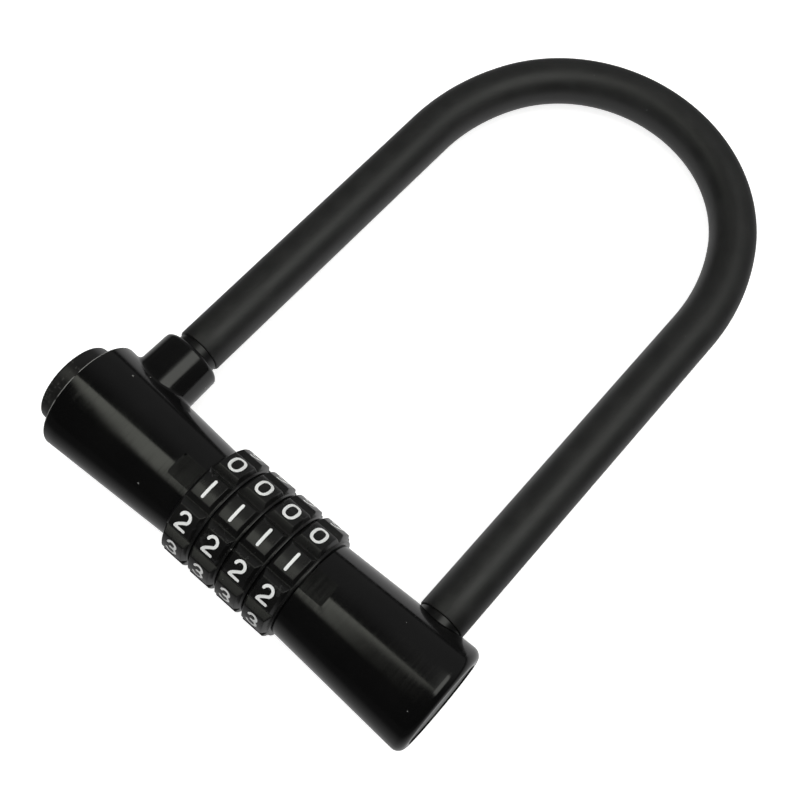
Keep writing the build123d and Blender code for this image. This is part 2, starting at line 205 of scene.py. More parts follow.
def buildEdgeRub():
    inputs = [("Radius", 0.0004), ("Break", 900.0)]
    tree, given, out = newGroup("edgeRub", inputs, ["Mask"])
    rounding = {"samples": rubMarks["samples"]}
    rounded = addNode(tree, "ShaderNodeBevel", rounding, {"Radius": given.outputs["Radius"]})
    flat = addNode(tree, "ShaderNodeNewGeometry").outputs["Normal"]
    turn = addNode(
        tree, "ShaderNodeVectorMath", {"operation": "DOT_PRODUCT"}, {0: rounded.outputs[0], 1: flat}
    )
    edge = remap(tree, turn.outputs["Value"], *rubMarks["edgeTurn"])
    place = addNode(tree, "ShaderNodeTexCoord").outputs["Object"]
    wearAndGlintPatches = remap(tree, noiseOf(tree, place, given.outputs["Break"], 4.0, 0.6), *rubMarks["wornRange"])
    tree.links.new(doMath(tree, "MULTIPLY", edge, wearAndGlintPatches), out.inputs["Mask"])
    return tree


turnedStreaks = buildTurnedStreaks()
fineGrain = buildFineGrain()
dustSpecks = buildDustSpecks()
hairScratches = buildHairScratches()
edgeRub = buildEdgeRub()


def placeGroup(tree, group, values):
    node = tree.nodes.new("ShaderNodeGroup")
    node.node_tree = group
    for label, value in values.items():
        node.inputs[label].default_value = value
    return node


def blendColour(tree, mask, under, over):
    node = addNode(tree, "ShaderNodeMix", {"data_type": "RGBA"})
    tree.links.new(mask, node.inputs["Factor"])
    for place, colour in ((6, under), (7, over)):
        if isinstance(colour, bpy.types.NodeSocket):
            tree.links.new(colour, node.inputs[place])
        else:
            node.inputs[place].default_value = (*colour, 1.0)
    return node.outputs[2]


# how much each kind of mark dulls the surface, where streaks show, and the patches of the painted highlight
# along the left rim
markRoughness = {"rub": 0.12, "scratch": 0.3, "dust": 0.4}
streakRange = (0.46, 0.72)
rimGlintPatches = {"scale": 260.0, "detail": 3.0, "roughness": 0.6, "range": (0.3, 0.5)}


# one recipe for every finish: grain, streaks, rubbed edges, a painted highlight along the rim, scratches
# and dust over a base
def newFinish(name, look):
    material = bpy.data.materials.new(name)
    material.use_nodes = True
    tree = material.node_tree
    shader = tree.nodes["Principled BSDF"]
    for label, value in look.get("fixed", {}).items():
        shader.inputs[label].default_value = value
    grain = placeGroup(tree, fineGrain, {"Scale": look["grainScale"]})
    colour = blendColour(tree, grain.outputs["Cloud"], look["dark"], look["light"])
    low, high = look["roughness"]
    roughness = remap(tree, grain.outputs["Cloud"], 0.0, 1.0, low, high)
    height = doMath(tree, "MULTIPLY", grain.outputs["Height"], look["grainDepth"])
    if "streak" in look:
        streak = placeGroup(tree, turnedStreaks, {"Spread": look["streak"]})
        rough = remap(tree, streak.outputs["Height"], *streakRange, 0.0, look["streakRoughness"])
        roughness = doMath(tree, "ADD", roughness, rough)
        height = doMath(tree, "MULTIPLY_ADD", streak.outputs["Height"], look["streakDepth"], height)
    if "rub" in look:
        rub = placeGroup(tree, edgeRub, {"Radius": look["rubRadius"]})
        mask = doMath(tree, "MULTIPLY", rub.outputs["Mask"], look["rubAmount"])
        colour = blendColour(tree, mask, colour, look["rub"])
        roughness = doMath(tree, "MULTIPLY_ADD", mask, markRoughness["rub"], roughness)
    if "scratch" in look:
        scratch = placeGroup(tree, hairScratches, {"Patches": look["scratchPatches"]})
        mask = doMath(tree, "MULTIPLY", scratch.outputs["Mask"], look["scratchAmount"])
        colour = blendColour(tree, mask, colour, look["scratch"])
        roughness = doMath(tree, "MULTIPLY_ADD", mask, markRoughness["scratch"], roughness)
    # painted highlight: a thin, patchy light band along the casting's left rim, painted into the colour in
    # place of the light its small fillet catches
    if "rim" in look:
        place = addNode(tree, "ShaderNodeTexCoord").outputs["Object"]
        along = addNode(tree, "ShaderNodeSeparateXYZ", None, {"Vector": place}).outputs["X"]
        start, full, edge, end = (leftRim + step for step in look["rimBand"])
        band = doMath(tree, "MULTIPLY", remap(tree, along, start, full), remap(tree, along, end, edge))
        patchy = noiseOf(tree, place, rimGlintPatches["scale"], rimGlintPatches["detail"], rimGlintPatches["roughness"])
        wearAndGlintPatches = doMath(tree, "MULTIPLY", band, remap(tree, patchy, *rimGlintPatches["range"]))
        colour = blendColour(tree, wearAndGlintPatches, colour, look["rim"])
    if "dust" in look:
        specks = placeGroup(tree, dustSpecks, {"Amount": look["dustAmount"]})
        colour = blendColour(tree, specks.outputs["Mask"], colour, look["dust"])
        roughness = doMath(tree, "MULTIPLY_ADD", specks.outputs["Mask"], markRoughness["dust"], roughness)
    bump = addNode(tree, "ShaderNodeBump", None, {"Strength": 1.0, "Distance": mm, "Height": height})
    tree.links.new(colour, shader.inputs["Base Color"])
    tree.links.new(roughness, shader.inputs["Roughness"])
    tree.links.new(bump.outputs[0], shader.inputs["Normal"])
    return material


paleDust = (0.16, 0.16, 0.155)
finishes = {
    "castingLacquer": {
        "dark": (0.0026, 0.0026, 0.0027),
        "light": (0.0036, 0.0036, 0.0036),
        "roughness": (0.1, 0.14),
        "grainScale": 1500.0,
        "grainDepth": 0.002,
        "streak": (5200.0, 60.0, 60.0),
        "streakRoughness": 0.12,
        "streakDepth": 0.003,
        # painted highlight along the left rim: its colour, then where its band lies
        "rim": (0.3, 0.3, 0.29),
        "rimBand": (0.00008, 0.0002, 0.0003, 0.0005),  # from the left rim: starts, full, fades, ends
        "dust": paleDust,
        "dustAmount": 0.05,
        "fixed": {"IOR": 1.5},
    },
    "sleeveVinyl": {
        "dark": (0.0125, 0.0127, 0.0125),
        "light": (0.0165, 0.0167, 0.0164),
        "roughness": (0.43, 0.49),
        "grainScale": 3600.0,
        "grainDepth": 0.02,
        "scratch": (0.022, 0.022, 0.022),
        "scratchPatches": 0.66,
        "scratchAmount": 0.3,
        "dust": (0.05, 0.05, 0.05),
        "dustAmount": 0.04,
        "fixed": {"IOR": 1.5},
    },
    "dialSatin": {
        "dark": (0.006, 0.006, 0.006),
        "light": (0.009, 0.009, 0.0088),
        "roughness": (0.26, 0.32),
        "grainScale": 2600.0,
        "grainDepth": 0.006,
        "rub": (0.06, 0.06, 0.058),
        "rubRadius": 0.00025,
        "rubAmount": 0.35,
        "scratch": (0.03, 0.03, 0.03),
        "scratchPatches": 0.6,
        "scratchAmount": 0.4,
        "dust": paleDust,
        "dustAmount": 0.08,
        "fixed": {"IOR": 1.5},
    },
    "numeralWhite": {
        "dark": (0.86, 0.87, 0.87),
        "light": (0.93, 0.935, 0.93),
        "roughness": (0.42, 0.5),
        "grainScale": 2600.0,
        "grainDepth": 0.006,
        "fixed": {"IOR": 1.45},
    },
    "buttonBlack": {
        "dark": (0.006, 0.006, 0.006),
        "light": (0.018, 0.018, 0.0172),
        "roughness": (0.28, 0.4),
        "grainScale": 2000.0,
        "grainDepth": 0.006,
        "streak": (3200.0, 60.0, 60.0),
        "streakRoughness": 0.12,
        "streakDepth": 0.006,
        "rub": (0.08, 0.08, 0.078),
        "rubRadius": 0.0003,
        "rubAmount": 0.45,
        "scratch": (0.05, 0.05, 0.048),
        "scratchPatches": 0.52,
        "scratchAmount": 0.6,
        "dust": paleDust,
        "dustAmount": 0.08,
    },
    "plateBlack": {
        "dark": (0.04, 0.04, 0.039),
        "light": (0.062, 0.062, 0.06),
        "roughness": (0.34, 0.46),
        "grainScale": 1800.0,
        "grainDepth": 0.008,
        "rub": (0.1, 0.1, 0.1),
        "rubRadius": 0.0003,
        "rubAmount": 0.4,
        "scratch": (0.06, 0.06, 0.06),
        "scratchPatches": 0.55,
        "scratchAmount": 0.5,
        "dust": paleDust,
        "dustAmount": 0.1,
    },
    "ferruleBlack": {
        "dark": (0.002, 0.002, 0.002),
        "light": (0.005, 0.005, 0.005),
        "roughness": (0.3, 0.38),
        "grainScale": 2400.0,
        "grainDepth": 0.004,
        "dust": paleDust,
        "dustAmount": 0.05,
    },
    "guideNylon": {
        "dark": (0.012, 0.012, 0.012),
        "light": (0.03, 0.03, 0.03),
        "roughness": (0.35, 0.5),
        "grainScale": 2200.0,
        "grainDepth": 0.01,
        "dust": paleDust,
        "dustAmount": 0.08,
    },
    "ringNylon": {
        "dark": (0.56, 0.53, 0.46),
        "light": (0.7, 0.67, 0.6),
        "roughness": (0.38, 0.5),
        "grainScale": 1800.0,
        "grainDepth": 0.008,
    },
    "shackleSteel": {
        "dark": (0.2, 0.2, 0.2),
        "light": (0.34, 0.34, 0.335),
        "roughness": (0.24, 0.4),
        "grainScale": 1500.0,
        "grainDepth": 0.01,
        "scratch": (0.5, 0.5, 0.49),
        "scratchPatches": 0.5,
        "scratchAmount": 0.6,
        "fixed": {"Metallic": 1.0},
    },
    "tubeSteel": {
        "dark": (0.4, 0.4, 0.39),
        "light": (0.55, 0.55, 0.54),
        "roughness": (0.28, 0.4),
        "grainScale": 1500.0,
        "grainDepth": 0.006,
        "streak": (2600.0, 60.0, 60.0),
        "streakRoughness": 0.1,
        "streakDepth": 0.008,
        "fixed": {"Metallic": 1.0},
    },
    "wornSteel": {
        "dark": (0.1, 0.1, 0.1),
        "light": (0.3, 0.3, 0.29),
        "roughness": (0.22, 0.36),
        "grainScale": 1400.0,
        "grainDepth": 0.008,
        "rub": (0.6, 0.6, 0.58),
        "rubRadius": 0.0004,
        "rubAmount": 0.8,
        "fixed": {"Metallic": 1.0},
    },
    "springSteel": {
        "dark": (0.45, 0.45, 0.44),
        "light": (0.62, 0.62, 0.61),
        "roughness": (0.2, 0.32),
        "grainScale": 2600.0,
        "grainDepth": 0.003,
        "fixed": {"Metallic": 1.0},
    },
    "castZinc": {
        "dark": (0.36, 0.36, 0.37),
        "light": (0.5, 0.5, 0.51),
        "roughness": (0.4, 0.58),
        "grainScale": 900.0,
        "grainDepth": 0.03,
        "fixed": {"Metallic": 1.0},
    },
    "turnedBrass": {
        "dark": (0.58, 0.42, 0.18),
        "light": (0.74, 0.57, 0.28),
        "roughness": (0.2, 0.34),
        "grainScale": 1600.0,
        "grainDepth": 0.003,
        "streak": (3000.0, 60.0, 60.0),
        "streakRoughness": 0.1,
        "streakDepth": 0.008,
        "fixed": {"Metallic": 1.0},
    },
}
finish = {name: newFinish(name, look) for name, look in finishes.items()}
print("finishes ready:", len(finish))


def newPiece(name, mesh, body, material, replaced=()):
    piece = bpy.data.objects.new(name, mesh)
    bpy.context.scene.collection.objects.link(piece)
    mesh.materials.clear()
    mesh.materials.append(material)
    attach(piece, body)
    if replaced:
        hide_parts(*replaced)
    return piece


weldDistance = 0.5e-6
sharpAngles = {"shell": 28.0, "sleeve": 28.0, "drum": 32.0, "inlay": 40.0}  # degrees


def smoothFaces(build, sharpAngle):
    for face in build.faces:
        face.smooth = True
    for edge in build.edges:
        edge.smooth = len(edge.link_faces) == 2 and edge.calc_face_angle(0) < math.radians(sharpAngle)


# a merged copy of a CAD node's mesh, smooth but for its real edges
def smoothMesh(node):
    mesh = nodes[node].data.copy()
    build = bmesh.new()
    build.from_mesh(mesh)
    bmesh.ops.remove_doubles(build, verts=build.verts, dist=weldDistance)
    smoothFaces(build, sharpAngles["shell"])
    build.to_mesh(mesh)
    build.free()
    return mesh


# piece, CAD node, body, finish and slot
smoothPieces = (
    ("leftCastingShell", "left_casting", "crossbar", "castingLacquer", "black_lacquer"),
    ("rightCastingShell", "right_casting", "crossbar", "castingLacquer", "black_lacquer"),
    ("collarBushRing", "collar_bush", "crossbar", "guideNylon", "guide_nylon"),
    ("socketBushRing", "socket_bush", "crossbar", "wornSteel", "bush_steel"),
    ("endPlateDisc", "end_plate", "crossbar", "plateBlack", "end_plate_black"),
    ("crossPins", "tube_pins", "crossbar", "tubeSteel", "tube_steel"),
    ("selectorScrew", "code_selector", "selector", "plateBlack", "selector_black"),
    ("shackleBar", "shackle_core", "shackle", "shackleSteel", "shackle_steel"),
    ("leftFerruleRing", "left_ferrule", "shackle", "ferruleBlack", "ferrule_black"),
    ("rightFerruleRing", "right_ferrule", "shackle", "ferruleBlack", "ferrule_black"),
    ("pushButtonCap", "push_button", "latch", "buttonBlack", "button_black"),
)
for pieceName, node, body, finishName, slotName in smoothPieces:
    newPiece(pieceName, smoothMesh(node), body, finish[finishName], (node,))
print("smooth pieces made:", len(smoothPieces))

innerFinish = {
    "core_tube": "tubeSteel",
    "click_leaf": "springSteel",
    "return_spring": "springSteel",
    "spring_seat": "turnedBrass",
    "dial_washers": "springSteel",
    "locking_slide": "castZinc",
    "spindle": "turnedBrass",
    "code_ring_1": "ringNylon",
    "code_ring_2": "ringNylon",
    "code_ring_3": "ringNylon",
    "code_ring_4": "ringNylon",
}
for node, finishName in innerFinish.items():
    slots = nodes[node].data.materials
    if not slots:
        slots.append(finish[finishName])
    for place in range(len(slots)):
        slots[place] = finish[finishName]
print("inner nodes finished:", len(innerFinish))


# geometry node helpers
def newShapeTree(name, inputs):
    tree = bpy.data.node_groups.new(name, "GeometryNodeTree")
    tree.interface.new_socket(name="Geometry", in_out="INPUT", socket_type="NodeSocketGeometry")
    sockets = {}
    for label, kind in inputs:
        sockets[label] = tree.interface.new_socket(name=label, in_out="INPUT", socket_type=kind)
    tree.interface.new_socket(name="Geometry", in_out="OUTPUT", socket_type="NodeSocketGeometry")
    return tree, tree.nodes.new("NodeGroupInput"), tree.nodes.new("NodeGroupOutput"), sockets


# runs a tree on a mesh and gives the plain mesh that comes out
def meshFromTree(name, startMesh, tree, sockets, values):
    holder = bpy.data.objects.new(name, startMesh)
    bpy.context.scene.collection.objects.link(holder)
    modifier = holder.modifiers.new(name, "NODES")
    modifier.node_group = tree
    for label, value in values.items():
        modifier[sockets[label].identifier] = value
    depsgraph = bpy.context.evaluated_depsgraph_get()
    mesh = bpy.data.meshes.new_from_object(holder.evaluated_get(depsgraph))
    holder.modifiers.remove(modifier)
    bpy.data.objects.remove(holder)
    return mesh


# shackle sleeve: a closed tube wall swept along the bow
sleeve = {
    "legSpacing": 100.0,
    "straightEnd": 129.8,
    "sideRadius": 65.2,
    "sideAngle": 27.1,
    "leftEnd": 29.6,
    "rightEnd": 16.2,
    "outer": 7.0,
    "inner": 6.02,
    "edge": 0.45,
    "edgeShare": 0.3,
    "cutLean": 0.004,
    "legStep": 6.0,
    "arcStep": 1.5,
    "sides": 72,
    "weld": 1e-6,
}


def bowLine(settings):
    half = settings["legSpacing"] / 2
    side = settings["sideRadius"]
    turn = math.radians(settings["sideAngle"])
    reach = half - side + side * math.cos(turn)
    rise = settings["straightEnd"] + side * math.sin(turn)
    crownRadius = reach / math.cos(turn)
    crownCentre = rise - crownRadius * math.sin(turn)
    rightHalf = []
    steps = round(settings["sideAngle"] / settings["arcStep"])
    for n in range(steps):
        angle = turn * n / steps
        rightHalf.append(
            (half - side + side * math.cos(angle), settings["straightEnd"] + side * math.sin(angle))
        )
    steps = round((90 - settings["sideAngle"]) / settings["arcStep"])
    for n in range(steps):
        angle = turn + (math.pi / 2 - turn) * n / steps
        rightHalf.append((crownRadius * math.cos(angle), crownCentre + crownRadius * math.sin(angle)))
    crown = [(0.0, crownCentre + crownRadius)]
    return [(-x, y) for x, y in rightHalf] + crown + rightHalf[::-1]


# the sleeve's centre line with the wall's radius at each point
def sleevePathMesh(settings, bore):
    half = settings["legSpacing"] / 2
    arc = bowLine(settings)
    rows = []
    outer, edge = settings["outer"], settings["edge"]
    part = settings["edgeShare"] * edge
    for side, end in ((-1, settings["leftEnd"]), (1, settings["rightEnd"])):
        leg = [(end, settings["inner"])]
        if not bore:
            leg.append((end + settings["cutLean"], outer - edge))
            leg.append((end + part, outer - part))
            leg.append((end + edge, outer))
        count = round((settings["straightEnd"] - end) / settings["legStep"])
        for n in range(1, count):
            leg.append((end + edge + (settings["straightEnd"] - end - edge) * n / count, outer))
        rows.append([((side * half, y), radius) for y, radius in leg])
    points = rows[0] + [(place, outer) for place in arc] + rows[1][::-1]
    mesh = bpy.data.meshes.new("sleevePath")
    places = [barCentre + Vector((x * mm, y * mm, 0.0)) for (x, y), radius in points]
    mesh.from_pydata(places, [(n, n + 1) for n in range(len(places) - 1)], [])
    thickness = mesh.attributes.new("wall", "FLOAT", "POINT")
    for n, (place, radius) in enumerate(points):
        thickness.data[n].value = (settings["inner"] if bore else radius) * mm
    return mesh


def buildSleeveTree():
    inputs = [("Sides", "NodeSocketInt"), ("Bore", "NodeSocketBool"), ("Finish", "NodeSocketMaterial")]
    tree, given, out, sockets = newShapeTree("sweptSleeve", inputs)
    curve = addNode(tree, "GeometryNodeMeshToCurve", None, {"Mesh": given.outputs["Geometry"]})
    wall = addNode(tree, "GeometryNodeInputNamedAttribute", {"data_type": "FLOAT"}, {"Name": "wall"})
    ring = addNode(tree, "GeometryNodeCurvePrimitiveCircle", None, {"Resolution": given.outputs["Sides"]})
    ring.inputs["Radius"].default_value = 1.0
    tube = addNode(
        tree,
        "GeometryNodeCurveToMesh",
        None,
        {"Curve": curve.outputs[0], "Profile Curve": ring.outputs[0], "Scale": wall.outputs["Attribute"]},
    )
    inward = addNode(
        tree, "GeometryNodeFlipFaces", None, {"Mesh": tube.outputs[0], "Selection": given.outputs["Bore"]}
    )
    loose = addNode(tree, "GeometryNodeRealizeInstances", None, {0: inward.outputs[0]})
    coloured = addNode(
        tree,
        "GeometryNodeSetMaterial",
        None,
        {"Geometry": loose.outputs[0], "Material": given.outputs["Finish"]},
    )
    tree.links.new(coloured.outputs[0], out.inputs[0])
    return tree, sockets


sleeveTree, sleeveSockets = buildSleeveTree()
walls = [
    meshFromTree(
        "sleeveWall",
        sleevePathMesh(sleeve, bore),
        sleeveTree,
        sleeveSockets,
        {"Sides": sleeve["sides"], "Bore": bore, "Finish": finish["sleeveVinyl"]},
    )
    for bore in (False, True)
]
build = bmesh.new()
for wall in walls:
    build.from_mesh(wall)
bmesh.ops.remove_doubles(build, verts=build.verts, dist=sleeve["weld"])
bmesh.ops.recalc_face_normals(build, faces=build.faces)
smoothFaces(build, sharpAngles["sleeve"])
sleeveMesh = bpy.data.meshes.new("shackleSleeve")
build.to_mesh(sleeveMesh)
openEdges = sum(1 for edge in build.edges if len(edge.link_faces) != 2)
build.free()
newPiece("shackleSleeve", sleeveMesh, "shackle", finish["sleeveVinyl"], ("shackle_sleeve",))
print("sleeve swept, open edges:", openEdges)


# dials: one sector with its land, turned ten times round the axis, then the numerals are cut
dial = {
    "lands": 10,
    "indexTilt": 3.7,
    "profile": ((0.0, 15.45), (1.1, 17.14), (7.85, 17.14), (8.6, 15.8), (9.25, 15.8)),
    "grooveEnd": 8.6,
    "grooveRadius": 15.5,
    "grooveFloor": 0.12,
    "grooveTop": 1.9,
    "landRadius": 17.14,
    "edge": 0.1,
    "edgeSpread": 1.6,
    "bore": 11.5,
    "notchRadius": 12.25,
    "notchHalf": 1.1,
    "notchEdge": 0.02,
    "rimEdge": 0.15,
    "rimRows": 0.12,
    "weld": 2e-6,
    # where the mesh has its rows: along the land, and close about its edges
    "landRows": (0.0, 0.8, 1.6, 2.4, 3.0),
    "edgeRows": (-0.22, -0.12, -0.06, 0.0, 0.06, 0.12, 0.22, 0.5, 0.9, 1.3, 1.62, 1.75),
    "rimStations": (0.0, 0.05, 0.12, 0.35, 0.6, 0.85),
    "riseRows": (-0.12, -0.06, 0.0, 0.06, 0.14),
    "landStations": (1.6, 2.6, 3.6, 4.5, 5.4, 6.3, 7.2),
    "fallRows": (-0.14, -0.06, 0.0, 0.06, 0.14),
    "bandStations": (8.2, 8.4, 8.52, 8.599, 8.601, 8.68, 8.8),
}


# the lower of two slopes, with the corner between them rounded
def softLower(first, second, width):
    gap = max(width - abs(first - second), 0.0) / width
    return min(first, second) - gap * gap * width / 4


def profileRadius(settings, station):
    profile = settings["profile"]
    lines = []
    for (x0, r0), (x1, r1) in zip(profile, profile[1:]):
        lines.append((x0, r0, (r1 - r0) / (x1 - x0)))
    rise, top, fall, band = lines
    width = settings["edge"] * settings["edgeSpread"]
    outer = softLower(settings["landRadius"], rise[1] + rise[2] * (station - rise[0]), width)
    outer = softLower(outer, fall[1] + fall[2] * (station - fall[0]), width)
    return max(outer, band[1]) if station > top[0] + 1 else outer


def grooveHeight(settings, offset):
    depth = settings["landRadius"] - settings["grooveRadius"]
    slope = depth / (settings["grooveTop"] - settings["grooveFloor"])
    return settings["grooveRadius"] + max(0.0, offset - settings["grooveFloor"]) * slope


def surfaceRadius(settings, station, offset):
    body = profileRadius(settings, station)
    if station >= settings["grooveEnd"]:
        return body
    return softLower(body, grooveHeight(settings, offset), settings["edge"] * settings["edgeSpread"])


# how far a rim's rounded edge has drawn in at a distance from the end
def rimDrop(settings, inset):
    edge = settings["rimEdge"]
    return edge - math.sqrt(max(0.0, edge ** 2 - (edge - inset) ** 2))


def ringPlace(station, angle, radius):
    return (station * mm, -math.sin(angle) * radius * mm, math.cos(angle) * radius * mm)


# rows round the sector, as arc lengths at the land's radius
def sectorArcs(settings):
    perArc = settings["landRadius"]
    halfPitch = math.pi * perArc / settings["lands"]
    edgeAt = halfPitch - settings["grooveTop"]
    arcs = list(settings["landRows"])
    arcs += [edgeAt + row for row in settings["edgeRows"]]
    arcs += [halfPitch - settings["grooveFloor"], halfPitch]
    arcs = sorted(set([-row for row in arcs] + arcs))
    tilt = math.radians(settings["indexTilt"])
    notchTurn = settings["notchHalf"] / settings["notchRadius"]
    for side in (-1, 1):
        for nudge in (-settings["notchEdge"], settings["notchEdge"]):
            arcs.append((-tilt + side * notchTurn) * perArc + nudge)
    return sorted(arcs), halfPitch


def sectorStations(settings):
    end = settings["profile"][-1][0]
    rise, fall = settings["profile"][1][0], settings["profile"][2][0]
    stations = list(settings["rimStations"])
    stations += [rise + row for row in settings["riseRows"]]
    stations += settings["landStations"]
    stations += [fall + row for row in settings["fallRows"]]
    stations += settings["bandStations"]
    return stations + [end - row for row in settings["rimStations"][2::-1]]


def sectorMesh(settings):
    arcs, halfPitch = sectorArcs(settings)
    stations = sectorStations(settings)
    end = stations[-1]
    perArc = settings["landRadius"]
    tilt = math.radians(settings["indexTilt"])
    notchTurn = settings["notchHalf"] / settings["notchRadius"]
    build = bmesh.new()
    rows = []
    for station in stations:
        row = []
        for arc in arcs:
            radius = surfaceRadius(settings, station, halfPitch - abs(arc))
            inset = min(station, end - station)
            if inset < settings["rimRows"]:
                radius -= rimDrop(settings, inset)
            row.append(build.verts.new(ringPlace(station, arc / perArc, radius)))
        rows.append(row)
    boreRows = []
    for station in (0.0, end):
        row = []
        for arc in arcs:
            inNotch = abs(arc / perArc + tilt) < notchTurn
            radius = settings["notchRadius"] if inNotch else settings["bore"]
            row.append(build.verts.new(ringPlace(station, arc / perArc, radius)))
        boreRows.append(row)
    shell = [boreRows[0]] + rows + [boreRows[1], boreRows[0]]
    for lower, upper in zip(shell, shell[1:]):
        for n in range(len(arcs) - 1):
            build.faces.new((lower[n], lower[n + 1], upper[n + 1], upper[n]))
    mesh = bpy.data.meshes.new("dialSector")
    build.to_mesh(mesh)
    build.free()
    return mesh


def buildDrumTree():
    inputs = [
        ("Lands", "NodeSocketInt"),
        ("Weld", "NodeSocketFloat"),
        ("Finish", "NodeSocketMaterial"),
    ]
    tree, given, out, sockets = newShapeTree("turnedDrum", inputs)
    line = addNode(tree, "GeometryNodeMeshLine", None, {"Count": given.outputs["Lands"]})
    line.inputs["Offset"].default_value = (0.0, 0.0, 0.0)
    step = doMath(tree, "DIVIDE", 2 * math.pi, given.outputs["Lands"])
    index = addNode(tree, "GeometryNodeInputIndex").outputs[0]
    turn = addNode(
        tree,
        "FunctionNodeAxisAngleToRotation",
        None,
        {"Axis": (1.0, 0.0, 0.0), "Angle": doMath(tree, "MULTIPLY", index, step)},
    )
    copies = addNode(
        tree,
        "GeometryNodeInstanceOnPoints",
        None,
        {"Points": line.outputs[0], "Instance": given.outputs["Geometry"], "Rotation": turn.outputs[0]},
    )
    real = addNode(tree, "GeometryNodeRealizeInstances", None, {0: copies.outputs[0]})
    welded = addNode(
        tree,
        "GeometryNodeMergeByDistance",
        None,
        {"Geometry": real.outputs[0], "Distance": given.outputs["Weld"]},
    )
    coloured = addNode(
        tree,
        "GeometryNodeSetMaterial",
        None,
        {"Geometry": welded.outputs[0], "Material": given.outputs["Finish"]},
    )
    tree.links.new(coloured.outputs[0], out.inputs[0])
    return tree, sockets


drumTree, drumSockets = buildDrumTree()
drumMesh = meshFromTree(
    "dialDrum",
    sectorMesh(dial),
    drumTree,
    drumSockets,
    {"Lands": dial["lands"], "Weld": dial["weld"], "Finish": finish["dialSatin"]},
)
print("dial drum turned:", len(drumMesh.polygons), "faces")

# numerals: strokes with round ends, x to the right and y up, about the middle of a land
numeral = {
    "stroke": 0.84,
    "height": 5.85,
    "middle": 4.45,
    "recess": 0.3,
    "margin": 0.09,
    "inlayDrop": 0.06,
    "inlayFoot": 0.01,
    "step": 0.3,
    "capSides": 8,
    "ovalSides": 44,
    "weld": 1e-7,
}
halfTall = (numeral["height"] - numeral["stroke"]) / 2


def arcPoints(centre, radii, start, end):
    length = abs(math.radians(end - start)) * max(radii)
    count = max(3, round(length / numeral["step"]))
    points = []
    for n in range(count + 1):
        angle = math.radians(start + (end - start) * n / count)
        points.append((centre[0] + radii[0] * math.cos(angle), centre[1] + radii[1] * math.sin(angle)))
    return points


# a closed oval that is squarer than an ellipse
def ovalPoints(wide, tall, power):
    points = []
    for n in range(numeral["ovalSides"] + 1):
        angle = 2 * math.pi * n / numeral["ovalSides"]
        c, s = math.cos(angle), math.sin(angle)
        points.append(
            (
                wide * math.copysign(abs(c) ** (2 / power), c),
                tall * math.copysign(abs(s) ** (2 / power), s),
            )
        )
    return points


def sixPoints():
    bowl = arcPoints((0.0, -0.9), (1.5, halfTall - 0.9), 180, 540)
    return [(1.05, halfTall - 0.12)] + arcPoints((1.3, -0.9), (2.8, 2 * halfTall - 1.5), 100, 180) + bowl


strokePaths = {
    0: [ovalPoints(1.7, halfTall, 2.5)],
    1: [[(0.0, -halfTall), (0.0, halfTall)]],
    2: [
        arcPoints((0.0, 1.0), (1.45, halfTall - 1.0), 172, -42)
        + [(0.15, -0.62), (-0.75, -1.35), (-1.25, -1.95), (-1.45, -halfTall), (1.5, -halfTall)]
    ],
    3: [
        arcPoints((-0.05, 1.24), (1.32, halfTall - 1.24), 165, -85)
        + [(-0.3, 0.05)]
        + arcPoints((-0.05, -1.17), (1.5, halfTall - 1.17), 85, -165)
    ],
    4: [[(0.65, -halfTall), (0.65, halfTall), (-1.6, -1.0), (1.6, -1.0)]],
    5: [
        [(1.2, halfTall), (-1.05, halfTall), (-1.25, 0.3)]
        + arcPoints((-0.05, -0.85), (1.5, 1.54), 130, -150)
    ],
    6: [sixPoints()],
    7: [[(-1.45, halfTall), (1.5, halfTall), (-0.45, -halfTall)]],
    8: [
        arcPoints((0.0, 1.24), (1.25, halfTall - 1.24), 0, 360),
        arcPoints((0.0, -1.08), (1.5, halfTall - 1.08), 0, 360),
    ],
    9: [[(-x, -y) for x, y in sixPoints()]],
}


# outline polygons of a stroke's short runs, joined into one flat region
def strokeRegion(paths, halfWidth):
    points, outlines = [], []
    for path in paths:
        fine = []
        for (x0, y0), (x1, y1) in zip(path, path[1:]):
            count = max(1, math.ceil(math.hypot(x1 - x0, y1 - y0) / (2 * numeral["step"])))
            fine += [(x0 + (x1 - x0) * n / count, y0 + (y1 - y0) * n / count) for n in range(count)]
        fine.append(path[-1])
        for (x0, y0), (x1, y1) in zip(fine, fine[1:]):
            if math.hypot(x1 - x0, y1 - y0) < 1e-6:
                continue
            heading = math.atan2(y1 - y0, x1 - x0)
            ring = []
            for centre, start in (((x1, y1), heading - math.pi / 2), ((x0, y0), heading + math.pi / 2)):
                for n in range(numeral["capSides"] + 1):
                    angle = start + math.pi * n / numeral["capSides"]
                    ring.append(len(points))
                    reach = Vector((math.cos(angle), math.sin(angle))) * halfWidth
                    points.append(Vector(centre) + reach)
            outlines.append(ring)
    flat = delaunay_2d_cdt(points, [], outlines, 1, 1e-4, True)
    verts, faces, origins = flat[0], flat[2], flat[5]
    return verts, [face for face, origin in zip(faces, origins) if origin]


# the region wrapped round the dial as a closed solid; digit k stands k - 1 lands past the index
def addNumeral(build, digit, halfWidth, low, high):
    verts, faces = strokeRegion(strokePaths[digit], halfWidth)
    radius = dial["landRadius"]
    turn = math.radians((digit - 1) * 360 / dial["lands"])
    layers = []
    for level in (low, high):
        layer = []
        for place in verts:
            angle = turn - place.y / radius
            layer.append(build.verts.new(ringPlace(numeral["middle"] + place.x, angle, level)))
        layers.append(layer)
    sides = {}
    for face in faces:
        build.faces.new([layers[1][n] for n in face])
        build.faces.new([layers[0][n] for n in reversed(face)])
        for a, b in zip(face, face[1:] + face[:1]):
            if (b, a) in sides:
                del sides[(b, a)]
            else:
                sides[(a, b)] = True
    for a, b in sides:
        build.faces.new((layers[0][a], layers[0][b], layers[1][b], layers[1][a]))
    for vert in [v for v in build.verts if not v.link_faces]:
        build.verts.remove(vert)


